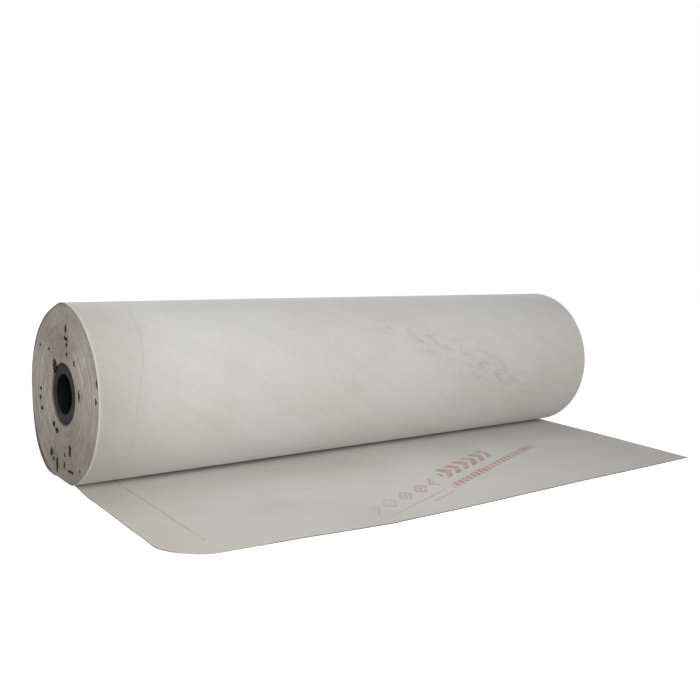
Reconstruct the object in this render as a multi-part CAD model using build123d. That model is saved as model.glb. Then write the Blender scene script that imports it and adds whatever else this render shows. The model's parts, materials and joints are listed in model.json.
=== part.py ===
from build123d import *
import math
import os

# Roll of roofing felt: one long sheet wound on a thick tube. The roll lies on its side, and the
# free end of the sheet comes out from under it and lies flat on the floor in front.
#
# Frame, in millimetres: X runs along the roll's axis, Z is up with the floor at 0, and the free end
# points along -Y. The origin is on the floor, straight below the middle of the roll's axis.

# Felt sheet
sheet_width = 1000.0
sheet_thickness = 1.5
roll_diameter = 260.0

# Gap that shows between neighbouring turns on both ends of the roll
turn_gap = 0.4
turn_gap_depth = 2.5
# Stretch on each side of the contact line where the roll's weight closes the gap
pressed_angle = 4.0

# Free end, measured forwards from the line where the roll presses on it
reach_left = 354.0
reach_longest = 378.0
reach_right = 370.0
# Place of the longest point, measured in from the left edge
longest_from_left = 310.0
worn_corner_radius = 62.0

# Core tube
core_outer_diameter = 85.0
core_bore_diameter = 58.0
core_recess = 3.0
core_edge_break = 1.0
# Radial room between the core tube and the first turn
core_clearance = 0.2

os.makedirs("parts", exist_ok=True)

roll_radius = roll_diameter / 2
core_radius = core_outer_diameter / 2
core_length = sheet_width - 2 * core_recess
winding_bore_radius = core_radius + core_clearance
half_turn = 180.0
bottom = -90.0


def half_turn_centre(index):
    """Centre of a half turn: the spiral is made of half circles on two centres, half a sheet apart."""
    return (0, roll_radius + (index % 2) * sheet_thickness / 2)


def half_turn_arc(index, radius, late_start=0.0):
    """One half turn, from the bottom up the back, or from the top down the front."""
    start = bottom + (index % 2) * half_turn + late_start
    return CenterArc(half_turn_centre(index), radius, start, half_turn - late_start)


def wound_section():
    """End view of the wound turns: the outermost turn starts on the floor and ends on the sheet."""
    up_the_back = half_turn_arc(0, roll_radius)
    down_the_front = half_turn_arc(1, roll_radius - sheet_thickness / 2)
    step = Line(down_the_front @ 1, up_the_back @ 0)
    outline = make_face([up_the_back, down_the_front, step])
    bore = Pos(0, roll_radius) * Circle(winding_bore_radius)
    return outline - bore


def wound_turns():
    """The turns as one solid, the sheet's full width long."""
    return extrude(Plane.YZ.offset(-sheet_width / 2) * wound_section(), sheet_width)


def free_end():
    """The part of the sheet that lies on the floor, seen from above and given its thickness."""
    left = -sheet_width / 2
    right = sheet_width / 2
    corners = Polyline(
        (left, 0),
        (left, -reach_left),
        (left + longest_from_left, -reach_longest),
        (right, -reach_right),
        (right, 0),
        close=True,
    )
    plan = make_face(corners)
    front_left = plan.vertices().sort_by_distance((left, -reach_left))[0]
    return extrude(fillet(front_left, worn_corner_radius), sheet_thickness)


def gap_section():
    """The gap between the turns as one long, narrow spiral, wound inwards as far as the core."""
    first_radius = roll_radius - sheet_thickness
    room = first_radius - winding_bore_radius - sheet_thickness
    count = math.floor(room / (sheet_thickness / 2))
    outer_side = []
    inner_side = []
    for index in range(count):
        radius = first_radius - index * sheet_thickness / 2
        late_start = pressed_angle if index == 0 else 0.0
        outer_side.append(half_turn_arc(index, radius + turn_gap / 2, late_start))
        inner_side.append(half_turn_arc(index, radius - turn_gap / 2, late_start))
    caps = [
        Line(outer_side[0] @ 0, inner_side[0] @ 0),
        Line(outer_side[-1] @ 1, inner_side[-1] @ 1),
    ]
    return make_face(outer_side + inner_side + caps)


def end_gaps():
    """The spiral gap as it shows on each end of the roll."""
    section = gap_section()
    left = extrude(Plane.YZ.offset(-sheet_width / 2) * section, turn_gap_depth)
    right = extrude(Plane.YZ.offset(sheet_width / 2) * section, -turn_gap_depth)
    return [left, right]


def felt_sheet():
    """The whole sheet: its wound turns and its free end are one piece."""
    sheet = wound_turns() + free_end()
    for gap in end_gaps():
        sheet -= gap
    return sheet


def core_tube():
    """The tube that the sheet is wound on, cut a little shorter than the sheet is wide."""
    section = Circle(core_radius) - Circle(core_bore_diameter / 2)
    middle = Plane.YZ.offset(-core_length / 2) * Pos(0, roll_radius)
    tube = extrude(middle * section, core_length)
    end_edges = tube.edges().filter_by(GeomType.CIRCLE)
    return chamfer(end_edges, core_edge_break)


export_step(felt_sheet(), "parts/felt_sheet.step")
export_step(core_tube(), "parts/core_tube.step")
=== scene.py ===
# %% [markdown]
# # A roll of roofing felt that lies on its own free end
# This lesson dresses a roll of pale grey, fleece-faced roofing felt. One sheet, a metre wide, is
# wound more than fifty times round a dark tube. Its last turn comes down the back, passes under the
# roll and lies flat on the floor in front.
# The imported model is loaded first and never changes. It gives the large sizes, so that what is
# modelled here lands exactly where the solids are.

# %% Load the fixed frame
import json
import math

import bpy
import numpy as np
from mathutils import Matrix, Vector


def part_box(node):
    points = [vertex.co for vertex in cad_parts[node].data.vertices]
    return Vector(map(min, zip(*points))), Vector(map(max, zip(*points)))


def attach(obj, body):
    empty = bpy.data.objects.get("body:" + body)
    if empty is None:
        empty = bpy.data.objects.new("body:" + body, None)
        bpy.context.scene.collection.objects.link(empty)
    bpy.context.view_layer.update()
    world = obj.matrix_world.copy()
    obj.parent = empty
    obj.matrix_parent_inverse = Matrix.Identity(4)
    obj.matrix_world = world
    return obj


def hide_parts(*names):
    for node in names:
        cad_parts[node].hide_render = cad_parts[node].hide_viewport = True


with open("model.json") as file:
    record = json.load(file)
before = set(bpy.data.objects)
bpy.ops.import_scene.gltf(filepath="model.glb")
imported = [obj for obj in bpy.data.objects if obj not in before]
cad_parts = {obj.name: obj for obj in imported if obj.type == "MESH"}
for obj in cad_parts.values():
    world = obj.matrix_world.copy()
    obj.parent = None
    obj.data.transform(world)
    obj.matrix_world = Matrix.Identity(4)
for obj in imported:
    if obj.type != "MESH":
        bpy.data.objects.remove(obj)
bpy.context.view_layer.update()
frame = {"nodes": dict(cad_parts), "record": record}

print("nodes in the frame:", sorted(frame["nodes"]))

# %% [markdown]
# ## Sizes
# The width of the sheet, the size of the roll and the reach of the free end are read from the frame.
# Only what its boxes can't tell is written here, in metres.

# %% Sizes, in metres
sheet_low, sheet_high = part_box("felt_sheet")
tube_low, tube_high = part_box("core_tube")
sheet_width = sheet_high.x - sheet_low.x
left_edge = sheet_low.x
right_edge = sheet_high.x
roll_radius = sheet_high.z / 2
longest_reach = -sheet_low.y
tube_radius = (tube_high.z - tube_low.z) / 2
bore_radius = frame["record"]["mounts"][0]["dims"]["r_mm"] / 1000

sheet_thickness = 0.0015
left_reach = 0.354
right_reach = 0.370
longest_from_left = 0.310
worn_corner_radius = 0.062
tiny = 1e-5
half_circle = math.pi
full_circle = 2 * math.pi
print(f"sheet {sheet_width:.3f} wide, roll {2 * roll_radius:.3f} across, tube {2 * tube_radius:.3f}")

# %% [markdown]
# ## Helpers for modelling by hand
# Edit-mode operators act on whatever is selected. So each step first clears the selection, and then
# selects vertices by where they are, as a click or a box selection would by hand.

# %% Helpers: start a piece, select by place, finish a piece
def make_active(piece):
    """Select this piece and nothing else."""
    bpy.ops.object.select_all(action="DESELECT")
    piece.select_set(True)
    bpy.context.view_layer.objects.active = piece


def edit_all(piece):
    """Open the piece in edit mode with everything in it selected."""
    make_active(piece)
    bpy.ops.object.mode_set(mode="EDIT")
    bpy.ops.mesh.select_all(action="SELECT")


def name_piece(piece, name):
    piece.name = name
    piece.data.name = name
    return piece


def read_rows(items, name):
    """Three numbers for each vertex or face, one row each."""
    flat = np.zeros(len(items) * 3)
    items.foreach_get(name, flat)
    return flat.reshape(-1, 3)


def places(piece):
    return read_rows(piece.data.vertices, "co")


def set_places(piece, rows):
    piece.data.vertices.foreach_set("co", rows.ravel())
    piece.data.update()


def select_where(piece, test):
    """Enter edit mode with those vertices selected whose place passes the test."""
    if bpy.context.mode != "OBJECT":
        bpy.ops.object.mode_set(mode="OBJECT")
    mesh = piece.data
    mesh.polygons.foreach_set("select", np.zeros(len(mesh.polygons), bool))
    mesh.edges.foreach_set("select", np.zeros(len(mesh.edges), bool))
    mesh.vertices.foreach_set("select", test(places(piece)))
    bpy.context.tool_settings.mesh_select_mode = (True, False, False)
    bpy.ops.object.mode_set(mode="EDIT")


def add_plane(name, size_x, size_y, centre):
    """A rectangle in the XY plane, at its size and place, left in edit mode."""
    bpy.ops.mesh.primitive_plane_add(size=1)
    piece = name_piece(bpy.context.object, name)
    edit_all(piece)
    bpy.ops.transform.resize(value=(size_x, size_y, 1))
    bpy.ops.transform.translate(value=centre)
    return piece


def apply_modifier(piece, kind, **settings):
    """Add a modifier with these settings and apply it at once."""
    make_active(piece)
    modifier = piece.modifiers.new(kind.title(), kind)
    for name, value in settings.items():
        setattr(modifier, name, value)
    bpy.ops.object.modifier_apply(modifier=modifier.name)


def bevel_edges(piece, width, segments, degrees):
    """Bevel the edges that are sharper than the angle."""
    settings = {"width": width, "segments": segments, "angle_limit": math.radians(degrees)}
    apply_modifier(piece, "BEVEL", limit_method="ANGLE", **settings)


def shade_smooth(piece, degrees):
    make_active(piece)
    bpy.ops.object.shade_smooth_by_angle(angle=math.radians(degrees))


def smooth(edge_low, edge_high, value):
    """0 below the low edge, 1 above the high edge, and a soft step between them."""
    share = np.clip((value - edge_low) / (edge_high - edge_low), 0, 1)
    return share * share * (3 - 2 * share)


def waves(value, seed, longest, count=6):
    """An uneven line between about -1 and 1: sine waves of shorter and shorter length added up."""
    shorter, weaker, evened = 1.6, 1.35, 2.6
    chance = np.random.default_rng(seed)
    total = np.zeros_like(value)
    for step in range(count):
        length = longest / shorter**step
        total += np.sin(value * full_circle / length + chance.uniform(0, full_circle)) / weaker**step
    return total / evened


# %% [markdown]
# ## The outer turn and the free end
# On the real roll this is one stretch of sheet. It starts at the front edge on the floor, runs back
# to the line where the roll presses on it, climbs the back of the roll and comes down its front.
# A Curve modifier could bend it. Spinning the back row of a flat plane is closer to how the sheet is
# really wound, and it keeps the rows even.
# First comes the flat part: a rectangle with its front corners pulled back and the left one rounded.

# %% Cut the free end to its outline
flat_middle = (0, -longest_reach / 2, 0)
free_end = add_plane("free_end_and_outer_turn", sheet_width, longest_reach, flat_middle)
bpy.ops.mesh.flip_normals()
bpy.ops.mesh.bisect(plane_co=(left_edge + longest_from_left, 0, 0), plane_no=(1, 0, 0))
front = -longest_reach + tiny
select_where(free_end, lambda p: (p[:, 1] < front) & (p[:, 0] < left_edge + tiny))
bpy.ops.transform.translate(value=(0, longest_reach - left_reach, 0))
select_where(free_end, lambda p: (p[:, 1] < front) & (p[:, 0] > right_edge - tiny))
bpy.ops.transform.translate(value=(0, longest_reach - right_reach, 0))
select_where(free_end, lambda p: (p[:, 1] < -tiny) & (p[:, 0] < left_edge + tiny))
bpy.ops.mesh.bevel(offset=worn_corner_radius, segments=14, affect="VERTICES")
free_end.update_from_editmode()
print("outline points:", len(free_end.data.vertices))

# %% [markdown]
# The outline is one flat face so far. Bisect cuts it into columns and rows, so that it can bend.

# %% Cut the flat part into columns and rows
cell = 0.008


def cut_across(way, low, high):
    """Bisect everything at even steps along one axis."""
    count = round((high - low) / cell)
    for index in range(1, count):
        at = low + (high - low) * index / count
        bpy.ops.mesh.select_all(action="SELECT")
        bpy.ops.mesh.bisect(plane_co=Vector(way) * at, plane_no=way)
    return count


column_count = cut_across((1, 0, 0), left_edge, right_edge)
row_count = cut_across((0, 1, 0), -longest_reach, 0.0)
print("columns", column_count, "rows", row_count)

# %% [markdown]
# Two half turns close the outer turn. The second one turns about a point half a sheet higher, so
# that the sheet ends on top of itself: that is what makes a spiral out of half circles.

# %% Wind the outer turn
spin_axis = (-1, 0, 0)
outer_step = 0.007
fewest_steps = 16


def spiral_centre(index):
    """Even half turns climb the back about the roll's axis, and odd ones come down the front."""
    return (0, 0, roll_radius + (index % 2) * sheet_thickness / 2)


def wind_half_turn(index, radius, step):
    """Spin what is selected half way round."""
    steps = max(fewest_steps, round(half_circle * radius / step))
    bpy.ops.mesh.spin(steps=steps, angle=half_circle, center=spiral_centre(index), axis=spin_axis)


select_where(free_end, lambda p: p[:, 1] > -tiny)
for index in (0, 1):
    wind_half_turn(index, roll_radius - index * sheet_thickness / 2, outer_step)
bpy.ops.object.mode_set(mode="OBJECT")
print("outer turn and free end:", len(free_end.data.polygons), "faces")

# %% [markdown]
# ## A map that follows the sheet
# Print, lap lines and creases belong to the sheet, so their pattern has to follow it round the roll.
# The map holds metres: across from the left edge, and along from the front edge. It is worked out
# from each vertex's place, before the sheet gets its unevenness.

# %% Give the sheet its map
def turn_angle(rows):
    """Angle round the roll's axis: 0 at the bottom, a quarter turn at the back, and on to the front."""
    angle = np.arctan2(rows[:, 1], roll_radius - rows[:, 2])
    return np.where(angle < -tiny, angle + full_circle, angle)


def lies_flat(rows):
    return (rows[:, 2] < tiny) & (rows[:, 1] < tiny)


def distance_along(rows):
    """Metres along the sheet from the longest point of the front edge."""
    wound = longest_reach + turn_angle(rows) * roll_radius
    return np.where(lies_flat(rows), longest_reach + rows[:, 1], wound)


def last_row(rows):
    """The vertices of the last row, which lies on the free end, straight below the axis."""
    return (np.abs(rows[:, 1]) < tiny) & (rows[:, 2] > tiny) & (rows[:, 2] < roll_radius)


def give_map(piece, name, across_values, along_values):
    """Write a UV map from one value pair for each vertex."""
    for old in list(piece.data.uv_layers):
        piece.data.uv_layers.remove(old)
    layer = piece.data.uv_layers.new(name=name)
    corner_vertices = np.zeros(len(piece.data.loops), np.int32)
    piece.data.loops.foreach_get("vertex_index", corner_vertices)
    pairs = np.stack([across_values, along_values], 1)[corner_vertices]
    layer.data.foreach_set("uv", pairs.ravel().astype(np.float32))


sheet_map = "sheet_metres"
sheet_end = longest_reach + full_circle * roll_radius
flat_places = places(free_end)
across = flat_places[:, 0] - left_edge
along = distance_along(flat_places)
along[last_row(flat_places)] = sheet_end
give_map(free_end, sheet_map, across, along)
print(f"the sheet's map runs to {across.max():.2f} across and {along.max():.2f} along")

# %% [markdown]
# ## Unevenness
# No felt lies dead flat. The free end has long shallow waves and a lifted corner, runs out askew, and
# its front edge isn't quite straight. The outer turn hangs off the back of the roll in a loose belly.
# The worn left end isn't quite round: its underside is flattened, and its back is slack.
# These small moves depend on the place along the sheet, so they are worked out for all vertices at
# once instead of being pushed by hand.

# %% How far the sheet strays from flat and round, in metres
wave_height = 0.0012
corner_lift = 0.0010
askew = 0.0086
askew_per_metre = 0.033
belly = 0.0032
belly_angle = math.radians(78)
skin_bulge = 0.0005
jut = 0.0010
edge_ripple = 0.0005
flattened = 0.0052
flattened_length = 0.07
slack = 0.0056
front_dips = (
    # place across, reach, depth
    (-0.365, 0.085, 0.0055),
    (-0.437, 0.035, 0.0042),
)
corner_dents = (
    # axis and size of the move, its place on the floor, its reach in both directions
    (0, -0.00128, -0.500, -0.300, 0.014, 0.020),
    (1, 0.0032, -0.477, -0.343, 0.016, 0.022),
)
print(f"waves of {wave_height * 1000:.1f} mm and a belly of {belly * 1000:.1f} mm")

# %% Work out each kind of unevenness
def flat_height(rows):
    """How high the flattened underside of the left end lies. It runs out along the roll."""
    return flattened * np.exp((left_edge - rows[:, 0]) / flattened_length)


def free_end_height(rows):
    """How far the free end stands off the floor."""
    out = smooth(0.03, 0.2, -rows[:, 1])
    long_waves = 0.5 + 0.5 * np.sin(rows[:, 0] * full_circle / 0.43 + rows[:, 1] * 5.0 + 0.7)
    ripples = 0.5 + 0.5 * waves(rows[:, 0] + 0.4 * rows[:, 1], 5, 0.19)
    height = wave_height * out * (0.65 * long_waves + 0.35 * ripples)
    corner = np.hypot(rows[:, 0] - left_edge, rows[:, 1] + left_reach)
    lifted = corner_lift * (1 - smooth(0.0, 0.13, corner)) ** 1.5
    by_the_roll = flat_height(rows) * (1 - smooth(0.0, 0.09, -rows[:, 1]))
    return height + lifted + by_the_roll


def outer_turn_bulge(rows, angle):
    """How far the outer turn stands out from the turn under it, which is nothing at the floor."""
    loose = np.sin(np.clip(angle / belly_angle, 0, 1) * half_circle) ** 2
    looser = 0.85 - 0.3 * rows[:, 0] + 0.1 * waves(rows[:, 0], 13, 0.6)
    bumps = 0.5 + 0.5 * waves(rows[:, 0] * 1.3 + angle * 0.11, 11, 0.5) * waves(angle, 12, 2.3)
    held = np.sin(np.clip(angle, 0, full_circle) / 2) ** 0.5
    return belly * loose * looser + skin_bulge * bumps * held


def worn_rise(rows):
    """How far the flattened underside pushes the turns of the left end up."""
    near_bottom = np.clip(np.abs(rows[:, 1]), 0, roll_radius / 2)
    round_height = roll_radius - np.sqrt(roll_radius**2 - near_bottom**2)
    push = np.maximum(flat_height(rows) - round_height, 0)
    return push * (1 - smooth(0.0, 0.07, rows[:, 2]))


def squeezed(rows):
    """The places with the slack back of the left end drawn in. The turns next to the tube stay."""
    degrees = np.degrees(turn_angle(rows))
    at_the_back = smooth(36, 72, degrees) * (1 - smooth(160, 180, degrees))
    close = 1 - smooth(0.0, 0.30, rows[:, 0] - left_edge)
    radius = np.maximum(np.hypot(rows[:, 1], rows[:, 2] - roll_radius), tube_radius)
    outwards = (radius - tube_radius) / (roll_radius - tube_radius)
    scale = 1 - slack * at_the_back * close * outwards / radius
    drawn_in = rows.copy()
    drawn_in[:, 1] = rows[:, 1] * scale
    drawn_in[:, 2] = roll_radius + (rows[:, 2] - roll_radius) * scale
    return drawn_in


def sideways(rows, angle, flat):
    """How far the sheet runs to the right: most under the roll, less and less on either side."""
    on_the_floor = askew + askew_per_metre * rows[:, 1]
    close = 1 - smooth(0.0, 0.08, rows[:, 0] - left_edge)
    jutting = jut * close * smooth(0.05, 0.55, angle) * (1 - smooth(0.8, 1.3, angle))
    return np.where(flat, on_the_floor, askew * (1 - smooth(0.0, 0.45, angle)) - jutting)


def close_to(values, middle, reach):
    """1 at the middle, falling off softly to nought over the reach."""
    return np.exp(-(((values - middle) / reach) ** 2))


print("ready to move the vertices")

# %% Let the free end wave and run askew, and the outer turn bulge
x, y = flat_places[:, 0], flat_places[:, 1]
on_floor = lies_flat(flat_places)
angle = turn_angle(flat_places)
angle[last_row(flat_places)] = full_circle
bulge = outer_turn_bulge(flat_places, angle)
bulge_up = worn_rise(flat_places) - np.cos(angle) * bulge
moved = flat_places.copy()
moved[:, 1] += np.where(on_floor, 0, np.sin(angle) * bulge)
moved[:, 2] += np.where(on_floor, free_end_height(flat_places), bulge_up)
moved = np.where(on_floor[:, None], moved, squeezed(moved))
at_the_front = smooth(0.06, 0.0, y + longest_reach)
for middle, reach, depth in front_dips:
    moved[:, 1] += np.where(on_floor, depth * at_the_front * close_to(x, middle, reach), 0)
for axis, move, at_x, at_y, reach_x, reach_y in corner_dents:
    dent = move * close_to(x, at_x, reach_x) * close_to(y, at_y, reach_y)
    moved[:, axis] += np.where(on_floor, dent, 0)
moved[:, 0] += sideways(flat_places, angle, on_floor)
moved[:, 0] += edge_ripple * waves(along, 21, 0.3) * np.sign(x)
set_places(free_end, moved)
print(f"the free end rises to {free_end_height(flat_places[on_floor]).max() * 1000:.1f} mm")

# %% [markdown]
# ## Thickness and cut edges
# Solidify gives the sheet its thickness on the inner side, and other materials on the inner face and
# on the rim, where the dark layer between the faces shows. A narrow bevel breaks the sharp rim.

# %% Give the sheet its thickness
inner_slot, edge_slot = 1, 2
pressed_thin = 0.94
for slot_name in ("felt_outer_face", "felt_inner_face", "felt_cut_edge"):
    free_end.data.materials.append(bpy.data.materials.new(slot_name))
apply_modifier(
    free_end,
    "SOLIDIFY",
    thickness=sheet_thickness * pressed_thin,
    offset=-1,
    material_offset=inner_slot,
    material_offset_rim=edge_slot,
)
bevel_edges(free_end, 0.0003, 1, 60)
shade_smooth(free_end, 35)
print("with its thickness:", len(free_end.data.polygons), "faces")

# %% [markdown]
# ## The wound turns
# Under the outer turn lie all the others. Only their edges show, on both ends of the roll. A turned
# block with rings painted on it would look solid, so each turn is modelled: a thin ribbon profile
# with soft corners is spun half a turn at a time, from the outside in. Spinning one growing mesh
# gets slow, so each half turn is spun on its own, and all are joined at the end.

# %% The ribbon's profile: a flat loop with soft corners
turn_gap = 0.00008
end_setback = 0.0006
soft_corner = 0.22
ribbon_thickness = sheet_thickness - turn_gap
ribbon_width = sheet_width - 2 * end_setback

profile = add_plane("ribbon_profile", ribbon_width, ribbon_thickness, (0, 0, 0))
bpy.ops.transform.rotate(value=math.pi / 2, orient_axis="X", center_override=(0, 0, 0))
bpy.ops.mesh.bevel(offset=ribbon_thickness * soft_corner, segments=2, affect="VERTICES")
bpy.ops.mesh.select_all(action="SELECT")
bpy.ops.mesh.delete(type="ONLY_FACE")
bpy.ops.object.mode_set(mode="OBJECT")
print("profile points:", len(profile.data.vertices))

# %% Spin the half turns and join them
wound_step = 0.0078
weld_distance = 0.00002
first_radius = roll_radius - sheet_thickness
wound_depth = first_radius - tube_radius
half_turns = math.floor((wound_depth - sheet_thickness) / (sheet_thickness / 2))


def half_turn_piece(index):
    """One half turn of the ribbon, spun from a copy of the profile that is put at its start."""
    radius = first_radius - index * sheet_thickness / 2
    middle = radius - ribbon_thickness / 2
    side = -1 if index % 2 == 0 else 1
    piece = bpy.data.objects.new("half_turn", profile.data.copy())
    bpy.context.scene.collection.objects.link(piece)
    edit_all(piece)
    bpy.ops.transform.translate(value=(0, 0, spiral_centre(index)[2] + side * middle))
    wind_half_turn(index, radius, wound_step)
    bpy.ops.object.mode_set(mode="OBJECT")
    return piece


pieces = [half_turn_piece(index) for index in range(half_turns)]
wound_turns = name_piece(pieces[0], "wound_turns")
make_active(wound_turns)
for piece in pieces:
    piece.select_set(True)
bpy.ops.object.join()
bpy.data.objects.remove(profile)
edit_all(wound_turns)
bpy.ops.mesh.remove_doubles(threshold=weld_distance)
bpy.ops.mesh.select_all(action="DESELECT")
bpy.ops.mesh.select_non_manifold()
bpy.ops.mesh.edge_face_add()
bpy.ops.mesh.select_all(action="SELECT")
bpy.ops.mesh.normals_make_consistent(inside=False)
bpy.ops.object.mode_set(mode="OBJECT")
print(half_turns, "half turns:", len(wound_turns.data.polygons), "faces")

# %% [markdown]
# ## Turns that don't line up
# No machine winds a sheet perfectly straight. Each turn has crept a little to one side, and its cut
# edge wanders, so the ends of the roll look combed and not machined. Both ends of one turn creep
# together, because it is one sheet. The turns next to the tube lie a little deeper.

# %% Let the turns creep sideways
turn_creep = 0.00026
edge_wander = 0.00020
core_dip = 0.0012
innermost_wall = 0.0034


def depth_in_turns(rows):
    """How many turns lie over a point, counted from the outermost one of the wound turns."""
    front_shift = np.where(rows[:, 1] < -tiny, sheet_thickness / 2, 0)
    radius = np.hypot(rows[:, 1], rows[:, 2] - roll_radius - front_shift)
    return (first_radius - front_shift - radius) / sheet_thickness


wound_places = places(wound_turns)
turn_number = np.floor(depth_in_turns(wound_places) + 0.02)
turns_wound = turn_number + turn_angle(wound_places) / full_circle
side = np.sign(wound_places[:, 0])
creep = turn_creep * waves(turns_wound, 31, 13.0, 9)
wander = edge_wander * waves(turns_wound * 5.0 + side * 3.1, 32, 2.4, 7)
dip = core_dip * smooth(0.7, 1.0, turns_wound / turn_number.max())
wound_places[:, 0] += creep + side * (wander - dip)
wound_places[:, 2] += worn_rise(wound_places)
set_places(wound_turns, squeezed(wound_places))
print("turns:", int(turn_number.max()) + 1)

# %% [markdown]
# The faces of the ribbon are plain felt. Its edges get a finish of their own, and so does the wall
# of the hole that the tube sits in, as painted shade in that recess.

# %% Sort the ribbon's faces into felt and edges
wound_turns.data.materials.append(bpy.data.materials["felt_outer_face"])
wound_turns.data.materials.append(bpy.data.materials.new("felt_wound_edges"))
ribbon_faces = wound_turns.data.polygons
middles = read_rows(ribbon_faces, "center")
# The wall of the hole by the tube takes the darker edge finish, as painted shade in that recess.
in_the_bore = np.hypot(middles[:, 1], middles[:, 2] - roll_radius) < tube_radius + innermost_wall
is_edge = (np.abs(read_rows(ribbon_faces, "normal")[:, 0]) > 0.2) | in_the_bore
ribbon_faces.foreach_set("material_index", is_edge.astype(np.int32))
shade_smooth(wound_turns, 50)
print("faces on cut edges:", int(is_edge.sum()))

# %% [markdown]
# ## The tube
# The sheet is wound on a thick, dark plastic tube. It is a cylinder whose ends are inset and bridged
# through to make the bore. Its sawn ends get a soft edge.

# %% Model the tube
tube_sides = 96
bpy.ops.mesh.primitive_cylinder_add(
    vertices=tube_sides,
    radius=tube_radius,
    depth=tube_high.x - tube_low.x,
    location=(0, 0, roll_radius),
    rotation=(0, math.pi / 2, 0),
)
tube = name_piece(bpy.context.object, "winding_tube")
make_active(tube)
bpy.ops.object.transform_apply(location=True, rotation=True, scale=True)
bpy.ops.object.mode_set(mode="EDIT")
bpy.context.tool_settings.mesh_select_mode = (False, False, True)
bpy.ops.mesh.select_all(action="DESELECT")
bpy.ops.object.mode_set(mode="OBJECT")
caps = [len(face.vertices) == tube_sides for face in tube.data.polygons]
tube.data.polygons.foreach_set("select", caps)
bpy.ops.object.mode_set(mode="EDIT")
bpy.ops.mesh.inset(thickness=tube_radius - bore_radius)
bpy.ops.mesh.delete(type="FACE")


def on_bore(rows):
    return np.hypot(rows[:, 1], rows[:, 2] - roll_radius) < (tube_radius + bore_radius) / 2


select_where(tube, on_bore)
bpy.ops.mesh.bridge_edge_loops(number_cuts=40)
bpy.ops.mesh.select_all(action="SELECT")
bpy.ops.mesh.normals_make_consistent(inside=False)
bpy.ops.object.mode_set(mode="OBJECT")
bevel_edges(tube, 0.0009, 3, 50)
shade_smooth(tube, 40)
tube.data.materials.append(bpy.data.materials.new("dark_tube_plastic"))
print("tube:", len(tube.data.polygons), "faces")

# %% [markdown]
# ## Building materials from nodes
# Every finish here is worked out by nodes, with no picture files. A small helper adds a node, sets
# its values and links its inputs in one line, which keeps each finish short enough to read.

# %% Helpers for single nodes
def fill(tree, socket, value):
    """Link another node's output to this input, or give it a plain value."""
    if isinstance(value, bpy.types.NodeSocket):
        tree.links.new(value, socket)
    else:
        socket.default_value = value


def add_node(tree, kind, inputs=None, **settings):
    """Add a node. Its settings are properties, and its inputs go by their names or numbers."""
    node = tree.nodes.new(kind)
    for name, value in settings.items():
        setattr(node, name, value)
    for name, value in (inputs or {}).items():
        fill(tree, node.inputs[name], value)
    return node


def maths(tree, operation, first, second=0.0, third=0.0):
    inputs = {0: first, 1: second, 2: third}
    return add_node(tree, "ShaderNodeMath", inputs, operation=operation).outputs[0]


def both(tree, first, second):
    """What two masks share, or one tone laid over another."""
    return maths(tree, "MULTIPLY", first, second)


def either(tree, first, second):
    return maths(tree, "MAXIMUM", first, second)


def vector_maths(tree, operation, first, second=(0, 0, 0)):
    node = add_node(tree, "ShaderNodeVectorMath", {0: first, 1: second}, operation=operation)
    return node.outputs["Value" if operation in ("LENGTH", "DOT_PRODUCT") else "Vector"]


def combine(tree, x=0.0, y=0.0, z=0.0):
    return add_node(tree, "ShaderNodeCombineXYZ", {"X": x, "Y": y, "Z": z}).outputs[0]


def split(tree, vector):
    return add_node(tree, "ShaderNodeSeparateXYZ", {"Vector": vector}).outputs


def ramp(tree, value, low, high, to_low=0.0, to_high=1.0):
    """A soft step from one value to another while the input goes from low to high."""
    inputs = {"Value": value, "From Min": low, "From Max": high, "To Min": to_low, "To Max": to_high}
    node = add_node(tree, "ShaderNodeMapRange", inputs, interpolation_type="SMOOTHSTEP")
    return node.outputs["Result"]


def noise(tree, vector, scale, detail=4.0, roughness=0.55, distortion=0.0):
    inputs = {"Vector": vector, "Scale": scale, "Detail": detail}
    inputs.update({"Roughness": roughness, "Distortion": distortion})
    return add_node(tree, "ShaderNodeTexNoise", inputs).outputs["Fac"]


def turned_and_scaled(tree, vector, degrees, scale):
    """The same coordinates, turned about the third axis and stretched."""
    inputs = {"Vector": vector, "Rotation": (0, 0, math.radians(degrees)), "Scale": scale}
    return add_node(tree, "ShaderNodeMapping", inputs).outputs["Vector"]


# %% Helpers for colours and groups
def srgb(red, green, blue):
    """A colour as a screen shows it, from 0 to 255, turned into the linear values of a shader."""
    def linear(part):
        part = part / 255
        return part / 12.92 if part <= 0.04045 else ((part + 0.055) / 1.055) ** 2.4
    return (linear(red), linear(green), linear(blue), 1.0)


def mix(tree, share, first, second, blend="MIX"):
    inputs = {0: share, 6: first, 7: second}
    return add_node(tree, "ShaderNodeMix", inputs, data_type="RGBA", blend_type=blend).outputs[2]


def add_tone(tree, colour, tone):
    """Make the colour lighter or darker by a factor."""
    return mix(tree, 1.0, colour, combine(tree, tone, tone, tone), "MULTIPLY")


def add_mark(tree, colour, mask, strength, tint):
    """Stain the colour with a tint where the mask says."""
    return mix(tree, both(tree, mask, strength), colour, tint, "MULTIPLY")


def new_group(name, inputs, outputs):
    """A node group. Its inputs are numbers or vectors, as their values are, and it gives numbers."""
    group = bpy.data.node_groups.new(name, "ShaderNodeTree")
    number = "NodeSocketFloat"
    for socket_name, value in inputs.items():
        kind = "NodeSocketVector" if isinstance(value, tuple) else number
        socket = group.interface.new_socket(name=socket_name, in_out="INPUT", socket_type=kind)
        socket.default_value = value
    for socket_name in outputs:
        group.interface.new_socket(name=socket_name, in_out="OUTPUT", socket_type=number)
    entry = group.nodes.new("NodeGroupInput").outputs
    leave = group.nodes.new("NodeGroupOutput").inputs
    return group, entry, leave


def place_group(tree, group, inputs):
    return add_node(tree, "ShaderNodeGroup", inputs, node_tree=group).outputs


# %% [markdown]
# ## Fleece
# Both faces of the felt are pressed fleece: fine fibres that lie every way, pressed flat, with faint
# long streaks where the machine drew them out. One group makes the height for the bump, a fine
# mottle for the colour and the slow change of tone that handling leaves.

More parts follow.
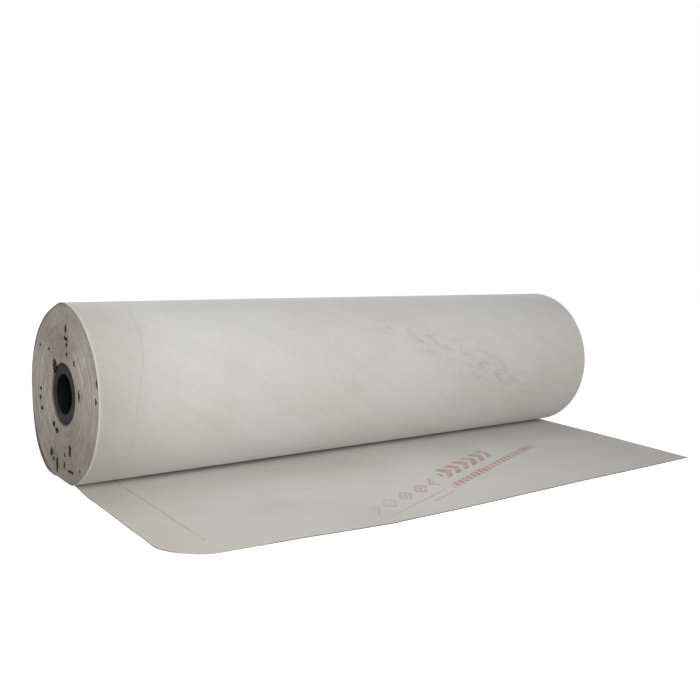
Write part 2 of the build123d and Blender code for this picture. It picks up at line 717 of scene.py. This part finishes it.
# %% Group: pressed fleece
fleece, entry, leave = new_group(
    "pressed_fleece",
    {"Vector": (0, 0, 0), "Streak Angle": 0.0},
    ("Height", "Mottle", "Cloud", "Streaks"),
)
place = entry["Vector"]
grain = noise(fleece, place, 900.0, 3.0, 0.6)
fibres_one = noise(fleece, turned_and_scaled(fleece, place, 38, (260, 1900, 1)), 1.0, 3.0, 0.6, 0.6)
fibres_two = noise(fleece, turned_and_scaled(fleece, place, -51, (240, 1700, 1)), 1.0, 3.0, 0.6, 0.6)
fibres = either(fleece, fibres_one, fibres_two)
height = maths(fleece, "MULTIPLY_ADD", fibres, 0.7, both(fleece, grain, 0.3))
turned = add_node(
    fleece,
    "ShaderNodeVectorRotate",
    {"Vector": place, "Angle": entry["Streak Angle"]},
    rotation_type="Z_AXIS",
).outputs["Vector"]
stretched = vector_maths(fleece, "MULTIPLY", turned, (3.0, 34.0, 1.0))
fill(fleece, leave["Height"], height)
fill(fleece, leave["Mottle"], noise(fleece, place, 120.0, 6.0, 0.7))
fill(fleece, leave["Cloud"], noise(fleece, place, 5.5, 4.0, 0.5, 0.4))
fill(fleece, leave["Streaks"], noise(fleece, stretched, 1.0, 5.0, 0.62, 0.8))
print("group:", fleece.name)

# %% [markdown]
# ## Soft-edged boxes and spots
# Marks on the sheet are drawn from two simple masks: a box and an oval spot, both with soft edges.
# Both are 1 inside and 0 outside.

# %% Groups: box and spot masks
box_mask, entry, leave = new_group(
    "box_mask",
    {"Vector": (0, 0, 0), "Centre": (0, 0, 0), "Half Size": (0.1, 0.1, 0), "Softness": 0.001},
    ("Mask",),
)
away = vector_maths(box_mask, "SUBTRACT", entry["Vector"], entry["Centre"])
away = vector_maths(box_mask, "SUBTRACT", vector_maths(box_mask, "ABSOLUTE", away), entry["Half Size"])
parts = split(box_mask, away)
outside = either(box_mask, parts["X"], parts["Y"])
shares = maths(box_mask, "DIVIDE", outside, entry["Softness"])
fill(box_mask, leave["Mask"], ramp(box_mask, shares, -1.0, 1.0, 1.0, 0.0))

spot_mask, entry, leave = new_group(
    "spot_mask",
    {"Vector": (0, 0, 0), "Centre": (0, 0, 0), "Half Size": (0.01, 0.01, 0.01), "Softness": 0.4},
    ("Mask",),
)
away = vector_maths(spot_mask, "SUBTRACT", entry["Vector"], entry["Centre"])
away = vector_maths(spot_mask, "DIVIDE", away, entry["Half Size"])
radius = vector_maths(spot_mask, "LENGTH", away)
inner = maths(spot_mask, "SUBTRACT", 1.0, entry["Softness"])
outer = maths(spot_mask, "ADD", 1.0, entry["Softness"])
fill(spot_mask, leave["Mask"], ramp(spot_mask, radius, inner, outer, 1.0, 0.0))


def mask_at(tree, mask, place, centre, half_size, softness):
    """Place a box or a spot."""
    inputs = {"Vector": place, "Centre": centre, "Half Size": half_size, "Softness": softness}
    return place_group(tree, mask, inputs)["Mask"]


print("groups:", box_mask.name, spot_mask.name)

# %% [markdown]
# ## Printed marks
# The inner face carries faded red laying marks that run aslant across it: a row of chevrons that
# shows which way to unroll, a row of lozenges, and rows of dashes. They could be a picture laid on
# the map. Drawn by arithmetic, in metres along and across their rows, they stay sharp at any size.

# %% Group: laying marks
marks_inputs = {"Vector": (0, 0, 0), "Blur": 0.0006}
laying_marks, entry, leave = new_group("laying_marks", marks_inputs, ("Mask",))
marks_place = entry["Vector"]
marks_blur = entry["Blur"]
marks_parts = split(laying_marks, marks_place)
marks_along = marks_parts["X"]
marks_across = marks_parts["Y"]


def marks_box(centre, half_size):
    return mask_at(laying_marks, box_mask, marks_place, (*centre, 0), (*half_size, 1), marks_blur)


def marks_line(value, half_width):
    """1 where the value lies within half a width of nought."""
    off = maths(laying_marks, "SUBTRACT", maths(laying_marks, "ABSOLUTE", value), half_width)
    return ramp(laying_marks, maths(laying_marks, "DIVIDE", off, marks_blur), -1.0, 1.0, 1.0, 0.0)


def repeated(value, pitch):
    """The distance from the middle of the nearest cell, for cells that follow each other."""
    return maths(laying_marks, "WRAP", value, pitch / 2, -pitch / 2)


def off_middle(value, middle):
    return maths(laying_marks, "SUBTRACT", value, middle)


def size_of(value):
    return maths(laying_marks, "ABSOLUTE", value)


print("helpers for", laying_marks.name)

# %% Draw the chevrons, the lozenges and the dashes
chevron_middle = 0.0235
chevron_pitch = 0.031
chevron_half_width = 0.0092
chevron_sweep = 0.75
chevron_row = marks_box((0.0925, chevron_middle), (0.0925, 0.0205))
from_middle = size_of(off_middle(marks_across, chevron_middle))
swept_back = maths(laying_marks, "MULTIPLY_ADD", from_middle, chevron_sweep, marks_along)
chevrons = marks_line(repeated(swept_back, chevron_pitch), chevron_half_width)
marks = both(laying_marks, chevrons, chevron_row)

lozenge_middle = (-0.123, 0.013)
lozenge_pitch = 0.0465
lozenge_ring, ring_half_width, lozenge_core = 0.0150, 0.0042, 0.0062
lozenge_row = marks_box(lozenge_middle, (2 * lozenge_pitch, 0.024))
lozenge_along = size_of(repeated(off_middle(marks_along, lozenge_middle[0]), lozenge_pitch))
lozenge_across = size_of(off_middle(marks_across, lozenge_middle[1]))
lozenge = maths(laying_marks, "ADD", lozenge_along, lozenge_across)
ring = marks_line(off_middle(lozenge, lozenge_ring), ring_half_width)
lozenges = either(laying_marks, ring, marks_line(lozenge, lozenge_core))
marks = either(laying_marks, marks, both(laying_marks, lozenges, lozenge_row))

dash_rows = (
    # across, half height, first, last, pitch, half length
    (-0.0250, 0.0090, -0.012, 0.317, 0.0150, 0.0053),
    (-0.0220, 0.0022, -0.201, -0.033, 0.0080, 0.0027),
    (-0.0385, 0.0022, -0.092, -0.028, 0.0080, 0.0027),
)
for across_at, half_height, first, last, pitch, half_length in dash_rows:
    extent = marks_box(((first + last) / 2, across_at), ((last - first) / 2, half_height))
    dashes = marks_line(repeated(marks_along, pitch), half_length)
    marks = either(laying_marks, marks, both(laying_marks, extent, dashes))
fill(laying_marks, leave["Mask"], marks)
print("group:", laying_marks.name)

# %% [markdown]
# ## The faces of the felt
# Both faces are the same pale fleece, but they don't look the same. The outer face, which shows on
# the roll, is clean and cool, with smudges where print has rubbed off on it. The inner face, which
# shows on the free end, is a little warmer and carries the laying marks and a thin red lap line.

# %% A fleece material to build both faces on
def new_material(name):
    """The named material with an empty tree, its shader and the place to put its surface."""
    material = bpy.data.materials[name]
    material.use_nodes = True
    tree = material.node_tree
    tree.nodes.clear()
    shader = add_node(tree, "ShaderNodeBsdfPrincipled")
    output = add_node(tree, "ShaderNodeOutputMaterial", {"Surface": shader.outputs["BSDF"]})
    return tree, shader, output


def give_surface(tree, shader, rough, height, strength, distance, specular):
    """Fill in how rough the surface is, its bump and its gloss."""
    bump = {"Height": height, "Strength": strength, "Distance": distance}
    fill(tree, shader.inputs["Normal"], add_node(tree, "ShaderNodeBump", bump).outputs["Normal"])
    fill(tree, shader.inputs["Roughness"], rough)
    fill(tree, shader.inputs["Specular IOR Level"], specular)


def fleece_face(name, pale, warm, streak_degrees):
    """A fleece face: tree, shader and colour so far, then its place, and that across and along."""
    tree, shader, _ = new_material(name)
    place = add_node(tree, "ShaderNodeUVMap", uv_map=sheet_map).outputs["UV"]
    streak_angle = math.radians(streak_degrees)
    felt = place_group(tree, fleece, {"Vector": place, "Streak Angle": streak_angle})
    colour = mix(tree, ramp(tree, felt["Cloud"], 0.36, 0.68), pale, warm)
    mottle = ramp(tree, felt["Mottle"], 0.3, 0.7, 0.970, 1.02)
    streak = ramp(tree, felt["Streaks"], 0.35, 0.7, 1.010, 0.970)
    colour = add_tone(tree, colour, both(tree, mottle, streak))
    rough = ramp(tree, felt["Mottle"], 0.3, 0.7, 0.86, 0.97)
    give_surface(tree, shader, rough, felt["Height"], 0.35, 0.0004, 0.25)
    fill(tree, shader.inputs["Sheen Weight"], 0.50)
    fill(tree, shader.inputs["Sheen Roughness"], 0.5)
    parts = split(tree, place)
    return tree, shader, colour, place, parts["X"], parts["Y"]


# %% [markdown]
# The ink is worn: fainter towards the left, and broken up by the fleece. The rows of marks slant
# while their stems stand nearly straight, so their coordinates come from two directions that aren't
# square to each other. A red lap line runs up the left side, and a faint one up the right. Painted
# shade darkens the crease where the roll comes down on the sheet.

# %% Finish: inner face, its marks
marks_start = Vector((0.5085, 0.1150, 0))
row_angle = math.radians(21.0)
stem_angle = math.radians(82.0)
faded_red = srgb(202, 98, 100)
lap_red = srgb(212, 170, 168)

pale_inner, warm_inner = srgb(209, 206, 202), srgb(201, 197, 191)
finish = fleece_face("felt_inner_face", pale_inner, warm_inner, 12)
tree, shader, colour, place, across_sheet, along_sheet = finish
leaning = math.sin(stem_angle - row_angle)
row_part = Vector((math.sin(stem_angle), -math.cos(stem_angle), 0)) / leaning
stem_part = Vector((-math.sin(row_angle), math.cos(row_angle), 0)) / leaning
from_start = vector_maths(tree, "SUBTRACT", place, marks_start)
along_row = vector_maths(tree, "DOT_PRODUCT", from_start, row_part)
up_stem = vector_maths(tree, "DOT_PRODUCT", from_start, stem_part)
smeared = both(tree, maths(tree, "SUBTRACT", noise(tree, place, 150.0, 3.0, 0.6), 0.5), 0.004)
smear = combine(tree, smeared, smeared, smeared)
marks_frame = vector_maths(tree, "ADD", combine(tree, along_row, up_stem), smear)
marks = place_group(tree, laying_marks, {"Vector": marks_frame, "Blur": 0.0011})["Mask"]
fade = ramp(tree, along_row, -0.24, 0.10, 0.36, 0.95)
patchy = ramp(tree, noise(tree, place, 34.0, 5.0, 0.65), 0.34, 0.62, 0.55, 1.0)
fibrous = ramp(tree, noise(tree, place, 420.0, 2.0, 0.6), 0.35, 0.6, 0.70, 1.0)
ink = both(tree, both(tree, fade, patchy), fibrous)
colour = add_mark(tree, colour, both(tree, marks, ink), 0.95, faded_red)
print("marks are on felt_inner_face")

# %% Finish: inner face, its lap lines and its painted shade
left_lap = mask_at(tree, box_mask, place, (0.060, 0.30, 0), (0.0015, 0.233, 1), 0.0018)
lap_ink = ramp(tree, noise(tree, place, 40.0, 3.0), 0.35, 0.6, 0.35, 1.0)
colour = add_mark(tree, colour, both(tree, left_lap, lap_ink), 0.60, lap_red)
right_lap = mask_at(tree, box_mask, place, (0.930, 0.30, 0), (0.0012, 0.30, 1), 0.0012)
colour = add_mark(tree, colour, right_lap, 0.35, srgb(190, 186, 182))
# Painted shade: the free end grows darker towards its right side, where less light reaches it.
shade_to_the_right = ramp(tree, across_sheet, 0.52, 0.95)
colour = add_mark(tree, colour, shade_to_the_right, 1.0, srgb(227, 225, 224))
left_margin = ramp(tree, across_sheet, 0.0, 0.10, 1.0, 0.0)
colour = add_mark(tree, colour, left_margin, 1.0, srgb(253, 251, 245))
# Painted shade in the crease where the roll comes down on the sheet.
crease_shade = ramp(tree, along_sheet, longest_reach - 0.044, longest_reach - 0.018)
colour = add_mark(tree, colour, crease_shade, 0.90, srgb(122, 115, 109))
fill(tree, shader.inputs["Base Color"], colour)
print("finished: felt_inner_face")

# %% [markdown]
# The outer face has painted shade low down at the left end, on top at the right end and in the
# crease, and a painted highlight along its left rim. It has the ghost of the lap line, and pinkish
# grey smudges, in a slanted band, where the ink of the turn that lay on it has rubbed off.

# %% Finish: outer face, painted shade at both ends and in the crease, a painted highlight on the rim
pale_outer, warm_outer = srgb(216, 215, 213), srgb(211, 208, 204)
finish = fleece_face("felt_outer_face", pale_outer, warm_outer, -32)
tree, shader, colour, place, across_sheet, along_sheet = finish
# Painted shade: darker low down at the left end.
near_left_end = ramp(tree, across_sheet, -0.06, 0.14, 1.0, 0.0)
lower_down = ramp(tree, along_sheet, 0.70, 1.06, 0.15, 1.0)
colour = add_mark(tree, colour, both(tree, near_left_end, lower_down), 1.0, srgb(202, 199, 191))
# Painted shade: darker on top at the right end.
near_right_end = ramp(tree, across_sheet, 0.60, 0.96)
higher_up = ramp(tree, along_sheet, 0.82, 0.99, 1.0, 0.0)
colour = add_mark(tree, colour, both(tree, near_right_end, higher_up), 1.0, srgb(240, 239, 238))
# Painted shade on the roll's underside, in the crease where it comes down on the sheet.
crease_shade = ramp(tree, along_sheet, sheet_end - 0.038, sheet_end - 0.022)
colour = add_mark(tree, colour, crease_shade, 0.80, srgb(118, 110, 103))
# Painted highlight: the left rim is paler, as where it catches the light.
rim_highlight = ramp(tree, across_sheet, 0.0, 0.005, 1.0, 0.0)
colour = mix(tree, both(tree, rim_highlight, 0.6), colour, srgb(226, 225, 222))
print("felt_outer_face is worn")

# %% Finish: outer face, its smudges and the ghost of the lap line
ghost_place = add_node(
    tree,
    "ShaderNodeMapping",
    {"Vector": place, "Location": (0.665, 0.950, 0), "Rotation": (0, 0, math.radians(22.0))},
    vector_type="TEXTURE",
).outputs["Vector"]
ghost_band = mask_at(tree, spot_mask, ghost_place, (0, 0, 0), (0.190, 0.030, 10.0), 0.6)
dabs = noise(tree, turned_and_scaled(tree, ghost_place, -24, (30.0, 90.0, 1.0)), 1.0, 4.0, 0.7)
smudges = both(tree, ghost_band, ramp(tree, dabs, 0.44, 0.68))
pink_end = ramp(tree, noise(tree, place, 12.0, 2.0), 0.4, 0.6)
rubbed = mix(tree, pink_end, srgb(220, 201, 205), srgb(208, 203, 211))
colour = add_mark(tree, colour, smudges, 0.48, rubbed)
lap_drift = ramp(tree, along_sheet, 0.86, 1.02, 0.0, 0.024)
lap_place = vector_maths(tree, "ADD", place, combine(tree, lap_drift))
lap_ghost = mask_at(tree, box_mask, lap_place, (0.076, 0.83, 0), (0.0016, 0.24, 1), 0.0030)
colour = add_mark(tree, colour, lap_ghost, 0.15, srgb(206, 188, 188))
fill(tree, shader.inputs["Base Color"], colour)
print("finished: felt_outer_face")

# %% [markdown]
# ## The cut edges
# A cut through the felt shows a darker layer between the two fleeces. Round the free end that gives
# a thin dark line, painted beige at the rounded corner as the shade under its lifted edge. On the
# roll the edge of the outer turn is painted pale as light at the front and low down, and stays dark
# at the back as painted shade.

# %% Finish: cut edge of the outer turn and free end
def object_place(tree):
    """A place in the frame, and its three parts."""
    place = add_node(tree, "ShaderNodeTexCoord").outputs["Object"]
    return place, split(tree, place)


tree, shader, _ = new_material("felt_cut_edge")
place, parts = object_place(tree)
worn = ramp(tree, noise(tree, place, 60.0, 4.0, 0.65), 0.35, 0.65)
dark_cut = mix(tree, worn, srgb(146, 139, 128), srgb(112, 105, 96))
pale_cut = mix(tree, worn, srgb(214, 211, 205), srgb(198, 194, 187))
# Painted shade: the beige at the rounded corner stands for the shade under its lifted edge.
shaded_beige_cut = mix(tree, worn, srgb(190, 182, 158), srgb(172, 164, 142))
corner = (left_edge + 0.055, -left_reach + 0.012, 0)
at_corner = mask_at(tree, spot_mask, place, corner, (0.075, 0.045, 1.0), 0.3)
colour = mix(tree, at_corner, dark_cut, shaded_beige_cut)
# Painted light: the outer turn's edge is pale at the front and low down, and stays dark at the back as
# painted shade.
off_floor = ramp(tree, parts["Z"], 0.006, 0.020)
at_front = ramp(tree, parts["Y"], -0.03, 0.02, 1.0, 0.0)
low_down = ramp(tree, parts["Z"], 0.10, 0.17, 1.0, 0.0)
lit_pale = both(tree, off_floor, either(tree, at_front, low_down))
colour = mix(tree, lit_pale, colour, pale_cut)
fill(tree, shader.inputs["Base Color"], colour)
rough = ramp(tree, worn, 0.0, 1.0, 0.85, 0.95)
give_surface(tree, shader, rough, noise(tree, place, 1400.0, 3.0), 0.5, 0.0003, 0.5)
print("finished: felt_cut_edge")

# %% [markdown]
# On the ends of the roll each turn has its darker line, and together they are a mid grey with rings.
# Both ends are blotchy from treading, and darker towards the bottom. The left end has picked up dark
# specks and a reddish bloom, which are placed where the roll has them.

# %% Finish: the ends of the roll
tree, shader, _ = new_material("felt_wound_edges")
place, parts = object_place(tree)
from_axis = maths(tree, "SUBTRACT", parts["Z"], roll_radius)
flat_from_axis = combine(tree, 0.0, parts["Y"], from_axis)
radius = vector_maths(tree, "LENGTH", flat_from_axis)
ring_place = combine(tree, radius)
rings = ramp(tree, noise(tree, ring_place, 330.0, 5.0, 0.7), 0.3, 0.7)
blotches = noise(tree, place, 22.0, 5.0, 0.6)
colour = mix(tree, rings, srgb(204, 199, 191), srgb(191, 185, 176))
colour = add_tone(tree, colour, ramp(tree, blotches, 0.3, 0.7, 1.06, 0.88))
round_it = vector_maths(tree, "NORMALIZE", flat_from_axis)
round_it = vector_maths(tree, "MULTIPLY", round_it, (0, 2.4, 2.4))
outwards = vector_maths(tree, "MULTIPLY", ring_place, (110.0, 0, 0))
arc_place = vector_maths(tree, "ADD", round_it, outwards)
arcs = ramp(tree, noise(tree, arc_place, 1.0, 4.0, 0.65), 0.50, 0.66)
colour = add_mark(tree, colour, arcs, 0.40, srgb(214, 204, 190))
trodden = ramp(tree, noise(tree, place, 95.0, 5.0, 0.7), 0.3, 0.7, 1.07, 0.90)
colour = add_tone(tree, colour, trodden)
# Darker towards the bottom of both ends.
darker_below = ramp(tree, parts["Z"], 0.02, 0.20, 1.0, 0.0)
colour = add_mark(tree, colour, darker_below, 1.0, srgb(233, 232, 228))
# Painted shade in the recess next to the tube.
shade_by_the_tube = ramp(tree, radius, tube_radius + 0.0012, tube_radius + 0.0042, 1.0, 0.0)
colour = add_mark(tree, colour, shade_by_the_tube, 0.85, srgb(128, 122, 114))
print("felt_wound_edges has its rings")

# %% Finish: the left end's bloom and specks
# Each speck is given by its place on the end, outwards from the axis and up from the floor, then
# by its half size in the same two directions, in millimetres.
specks = (
    (-11, 224, 3, 6),
    (-12, 211, 6, 3),
    (-14, 202, 3, 4),
    (-13, 190, 3, 3),
    (32, 166, 7, 10),
    (88, 190, 3, 2),
    (52, 188, 3, 2),
    (-41, 180, 3, 4),
    (-122, 165, 4, 6),
    (-117, 140, 3, 3),
    (86, 124, 3, 3),
    (87, 110, 3, 4),
    (80, 96, 4, 3),
    (-59, 137, 3, 7),
    (34, 81, 4, 5),
    (22, 73, 5, 4),
    (-28, 54, 4, 8),
    (-10, 45, 3, 3),
    (42, 38, 5, 6),
    (33, 30, 4, 3),
    (19, 24, 4, 10),
    (-8, 30, 3, 5),
    (-31, 25, 10, 2),
    (-64, 34, 3, 2),
    (-88, 32, 5, 4),
)
end_depth = 0.1
shift_size = 0.010
broken = noise(tree, place, 130.0, 4.0, 0.7)
broken_more = noise(tree, vector_maths(tree, "ADD", place, (0.31, 0.17, 0.53)), 130.0, 4.0, 0.7)
shift = vector_maths(tree, "SUBTRACT", combine(tree, 0.0, broken, broken_more), (0, 0.5, 0.5))
shifted = vector_maths(tree, "ADD", place, vector_maths(tree, "MULTIPLY", shift, (shift_size,) * 3))
bloom_place = (left_edge, 0.012, 0.200)
bloom = mask_at(tree, spot_mask, shifted, bloom_place, (end_depth, 0.045, 0.022), 0.8)
colour = add_mark(tree, colour, bloom, 0.26, srgb(204, 172, 160))
speck_mask = 0.0
for outwards, up, half_out, half_up in specks:
    centre = (left_edge, outwards / 1000, up / 1000)
    half_size = (end_depth, half_out / 1000, half_up / 1000)
    speck_mask = either(tree, mask_at(tree, spot_mask, shifted, centre, half_size, 0.9), speck_mask)
crumbs = maths(tree, "SUBTRACT", noise(tree, place, 420.0, 4.0, 0.65), 0.5)
crumbled = maths(tree, "MULTIPLY_ADD", crumbs, 0.7, speck_mask)
near_speck = ramp(tree, speck_mask, 0.1, 0.3)
speck_mask = both(tree, ramp(tree, crumbled, 0.34, 0.46), near_speck)
colour = mix(tree, both(tree, speck_mask, 0.96), colour, srgb(36, 32, 28))
fill(tree, shader.inputs["Base Color"], colour)
rough = ramp(tree, blotches, 0.3, 0.7, 0.88, 0.97)
give_surface(tree, shader, rough, noise(tree, place, 1500.0, 3.0, 0.6), 0.6, 0.0003, 0.10)
print("finished: felt_wound_edges, with", len(specks), "specks")

# %% [markdown]
# ## The tube's plastic
# The tube is made of recycled plastic: nearly black, dull, with a sawn end that is a little greyer
# than the bore, faint rings from the saw, and dust. The bore's wall is darker still, partly the dark
# plastic and partly painted shade inside the hole.

# %% Finish: dark tube plastic
tree, shader, _ = new_material("dark_tube_plastic")
place, parts = object_place(tree)
reach_out = maths(tree, "ABSOLUTE", parts["X"])
sawn = ramp(tree, reach_out, tube_high.x - 0.0014, tube_high.x - 0.0004)
dust = ramp(tree, noise(tree, place, 55.0, 5.0, 0.65), 0.35, 0.7)
end_colour = mix(tree, dust, srgb(28, 28, 32), srgb(47, 46, 48))
# The wall's near-black is partly the plastic and partly painted shade in the bore.
shaded_wall_colour = mix(tree, dust, srgb(6, 6, 9), srgb(13, 13, 16))
colour = mix(tree, sawn, shaded_wall_colour, end_colour)
fill(tree, shader.inputs["Base Color"], colour)
saw_place = vector_maths(tree, "MULTIPLY", place, (1.0, 900.0, 140.0))
rough = ramp(tree, dust, 0.0, 1.0, 0.60, 0.85)
give_surface(tree, shader, rough, noise(tree, saw_place, 1.0, 3.0, 0.6), 0.4, 0.0002, 0.12)
print("finished: dark_tube_plastic")

# %% [markdown]
# ## Ride and replace
# The object is one body, so every piece rides on it. The modelled sheet stands for the plain solid
# of the same sheet, and the tube for its own. The outer turn and the free end are one sheet of
# cloth, cut as wide as the roll.

# %% Tell the frame what stands for what
for piece, node, slot_name in (
    (free_end, "felt_sheet", "felt"),
    (wound_turns, "felt_sheet", "felt"),
    (tube, "core_tube", "tube"),
):
    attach(piece, "root")
    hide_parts(node)

# %% [markdown]
# ## Stage and light
# The object stands on a plain white floor under a white sky. What the camera sees of them is white
# by its own glow, so that the light on the object needn't be raised to bleach them, and the floor
# still takes a soft shadow.
# Three large square lamps light it: in front on the left, overhead, and a weak one behind.

# %% Floor and sky
floor_size = 24.0
floor_tone = (0.48, 0.48, 0.48, 1.0)
floor_bounce = (0.62, 0.61, 0.60, 1.0)
floor_glow = 0.905
sky_light = 0.20
sky_tint = (0.985, 0.99, 1.0, 1.0)
white = (1, 1, 1, 1)


def choose_by_ray(tree, for_light, for_camera):
    """One shader for bounced light, and one for the camera and for what gloss or clear stuff shows."""
    rays = add_node(tree, "ShaderNodeLightPath").outputs
    seen = either(tree, rays["Is Camera Ray"], rays["Is Glossy Ray"])
    seen = either(tree, seen, rays["Is Transmission Ray"])
    inputs = {0: seen, 1: for_light.outputs[0], 2: for_camera.outputs[0]}
    return add_node(tree, "ShaderNodeMixShader", inputs).outputs[0]


bpy.ops.mesh.primitive_plane_add(size=floor_size)
floor = bpy.context.object
floor.name = "floor"
floor.data.materials.append(bpy.data.materials.new("white_floor"))
tree, shader, output = new_material("white_floor")
fill(tree, shader.inputs["Base Color"], floor_tone)
fill(tree, shader.inputs["Roughness"], 1.0)
fill(tree, shader.inputs["Specular IOR Level"], 0.0)
bounced = add_node(tree, "ShaderNodeBsdfDiffuse", {"Color": floor_bounce})
glow = add_node(tree, "ShaderNodeEmission", {"Color": white, "Strength": floor_glow})
shown = add_node(tree, "ShaderNodeAddShader", {0: shader.outputs[0], 1: glow.outputs[0]})
fill(tree, output.inputs["Surface"], choose_by_ray(tree, bounced, shown))

world = bpy.data.worlds.new("white_sky")
bpy.context.scene.world = world
world.use_nodes = True
tree = world.node_tree
tree.nodes.clear()
lit = add_node(tree, "ShaderNodeBackground", {"Color": sky_tint, "Strength": sky_light})
plain = add_node(tree, "ShaderNodeBackground", {"Color": white, "Strength": 1.0})
add_node(tree, "ShaderNodeOutputWorld", {"Surface": choose_by_ray(tree, lit, plain)})
print("floor and sky are in place")

# %% Lamps
lamp_target = Vector((-0.1, -0.1, 0.1))
lamps = (
    # name, place, size, power, colour
    ("key", (-1.15, -2.15, 1.05), 1.6, 41.5, (1.0, 0.995, 0.985)),
    ("overhead", (-0.4, 0.3, 2.4), 2.0, 14.0, (0.965, 0.985, 1.0)),
    ("behind", (0.3, 2.4, 1.1), 1.6, 9.0, (0.98, 0.99, 1.0)),
)
for name, lamp_place, size, power, lamp_colour in lamps:
    data = bpy.data.lights.new(name, "AREA")
    data.shape = "SQUARE"
    data.size = size
    data.energy = power
    data.color = lamp_colour
    lamp = bpy.data.objects.new(name, data)
    lamp.location = lamp_place
    lamp.rotation_euler = (lamp_target - Vector(lamp_place)).to_track_quat("-Z", "Y").to_euler()
    bpy.context.scene.collection.objects.link(lamp)
print("lamps:", len(lamps))

# %% [markdown]
# ## Camera
# The camera stands low in front of the left end and looks along the roll, tipped a little to the
# side, so that the near end is a narrow oval and the far end falls away.

# %% Camera
camera_place = Vector((-0.970, -1.242, 0.387))
heading = math.radians(38.35)
downwards = math.radians(7.88)
tip = math.radians(2.60)
lens_in_frame_widths = 916 / 700

level = math.cos(downwards)
forward = Vector((math.sin(heading) * level, math.cos(heading) * level, -math.sin(downwards)))
level_right = Vector((math.cos(heading), -math.sin(heading), 0))
level_up = level_right.cross(forward)
right = level_right * math.cos(tip) + level_up * math.sin(tip)
up = level_up * math.cos(tip) - level_right * math.sin(tip)
camera_data = bpy.data.cameras.new("camera")
camera_data.sensor_width = 36
camera_data.lens = camera_data.sensor_width * lens_in_frame_widths
camera_data.clip_start = 0.01
camera = bpy.data.objects.new("camera", camera_data)
bpy.context.scene.collection.objects.link(camera)
facing = Matrix((right, up, -forward)).transposed().to_4x4()
camera.matrix_world = Matrix.Translation(camera_place) @ facing
bpy.context.scene.camera = camera
bpy.context.scene.view_settings.view_transform = "Standard"
print(f"lens {camera_data.lens:.1f} mm")
